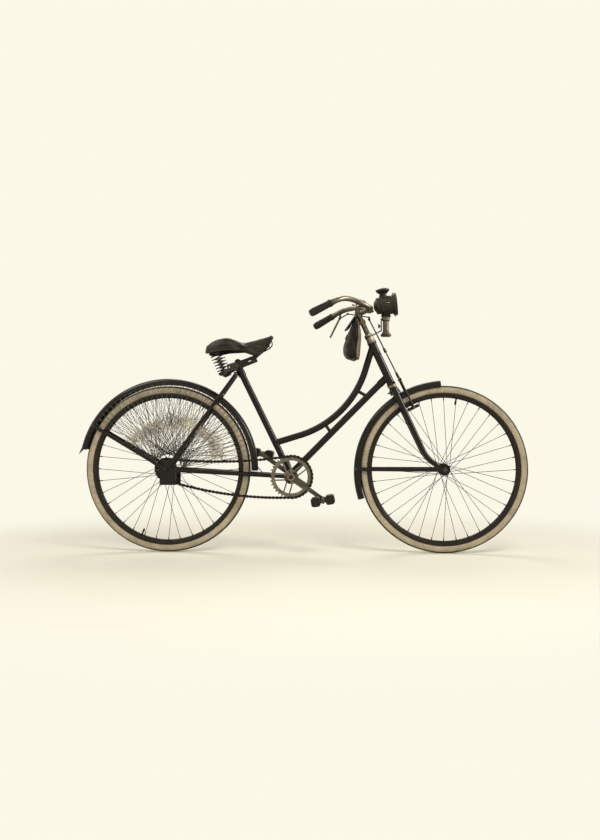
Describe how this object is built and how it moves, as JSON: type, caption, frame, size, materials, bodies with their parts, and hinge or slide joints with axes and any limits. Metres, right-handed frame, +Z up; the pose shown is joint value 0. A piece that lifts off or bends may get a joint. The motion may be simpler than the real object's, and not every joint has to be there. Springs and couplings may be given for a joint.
{
  "type": "bicycle",
  "caption": "Vintage step-through loop-frame roadster bicycle with laced dress guard, sprung leather saddle, carbide lamp, rod brake and hanging tool bag",
  "frame": {"origin": "the seat point on top of the saddle, where the rider sits", "axes": "+X points forward, the way the bicycle travels, +Y to the rider's left and +Z up"},
  "size_m": [1.9222, 0.5706, 1.1291],
  "materials": {
    "enamel": "worn gloss black enamel",
    "nickel": "aged nickel plate",
    "steel": "dull oiled steel",
    "tyre": "pale perished rubber",
    "black_rubber": "matt black rubber",
    "saddle_leather": "polished worn saddle leather",
    "bag_leather": "dark scuffed leather",
    "cord": "faded twine",
    "glass": "clear lamp glass"
  },
  "bodies": {
    "frame": {"head_tube": "enamel", "loop_tube": "enamel", "down_tube": "enamel", "tube_struts": "enamel", "seat_tube": "enamel", "bottom_bracket": "enamel", "chain_stays": "enamel", "seat_stays": "enamel", "rear_fork_ends": "enamel", "rear_axle": "steel", "head_cups": "nickel", "rear_mudguard": "enamel", "rear_mudguard_stays": "enamel", "dress_guard_right": "cord", "dress_guard_left": "cord", "seat_post": "steel", "saddle_frame": "steel", "saddle_springs": "steel", "saddle": "saddle_leather", "chain": "steel"},
    "steering": {"fork_crown": "enamel", "fork_blades": "enamel", "front_axle": "steel", "headset_nuts": "nickel", "stem": "nickel", "handlebar": "nickel", "grips": "black_rubber", "bell": "nickel", "brake_lever": "nickel", "brake_rods": "nickel", "brake_stirrup": "nickel", "brake_shoes": "black_rubber", "lamp_bracket": "steel", "lamp_body": "nickel", "lamp_glass": "glass", "lamp_container": "nickel", "front_mudguard": "enamel", "front_mudguard_stays": "enamel", "tool_bag": "bag_leather"},
    "front_wheel": {"front_tyre": "tyre", "front_rim": "enamel", "front_spokes": "steel", "front_hub": "enamel"},
    "rear_wheel": {"rear_tyre": "tyre", "rear_rim": "enamel", "rear_spokes": "steel", "rear_hub": "enamel"},
    "freewheel": {"rear_sprocket": "steel"},
    "cranks": {"crank_axle": "steel", "chainring": "nickel", "crank_right": "nickel", "crank_left": "nickel"},
    "right_pedal": {"pedal_right": "nickel", "pedal_right_blocks": "black_rubber"},
    "left_pedal": {"pedal_left": "nickel", "pedal_left_blocks": "black_rubber"}
  },
  "joints": [
    {"name": "steer", "type": "hinge", "parent": "frame", "child": "steering", "pos_m": [0.66051, 0, -0.10874], "axis": [-0.4242, 0, 0.9056], "range_deg": [-60, 60]},
    {"name": "front_wheel_spin", "type": "hinge", "parent": "steering", "child": "front_wheel", "pos_m": [0.92281, 0, -0.55789], "axis": [0, 1, 0], "continuous": true},
    {"name": "rear_wheel_spin", "type": "hinge", "parent": "frame", "child": "rear_wheel", "pos_m": [-0.25519, 0, -0.55789], "axis": [0, 1, 0], "continuous": true},
    {"name": "crank_spin", "type": "hinge", "parent": "frame", "child": "cranks", "pos_m": [0.27681, 0, -0.58889], "axis": [0, 1, 0], "continuous": true},
    {"name": "freewheel_spin", "type": "hinge", "parent": "frame", "child": "freewheel", "pos_m": [-0.25519, 0, -0.55789], "axis": [0, 1, 0], "continuous": true},
    {"name": "right_pedal_spin", "type": "hinge", "parent": "cranks", "child": "right_pedal", "pos_m": [0.41279, 0, -0.68235], "axis": [0, 1, 0], "continuous": true},
    {"name": "left_pedal_spin", "type": "hinge", "parent": "cranks", "child": "left_pedal", "pos_m": [0.14083, 0, -0.49544], "axis": [0, 1, 0], "continuous": true}
  ],
  "couplings": [
    {"joint": "freewheel_spin", "follows": "crank_spin", "ratio": 1.9444}
  ]
}
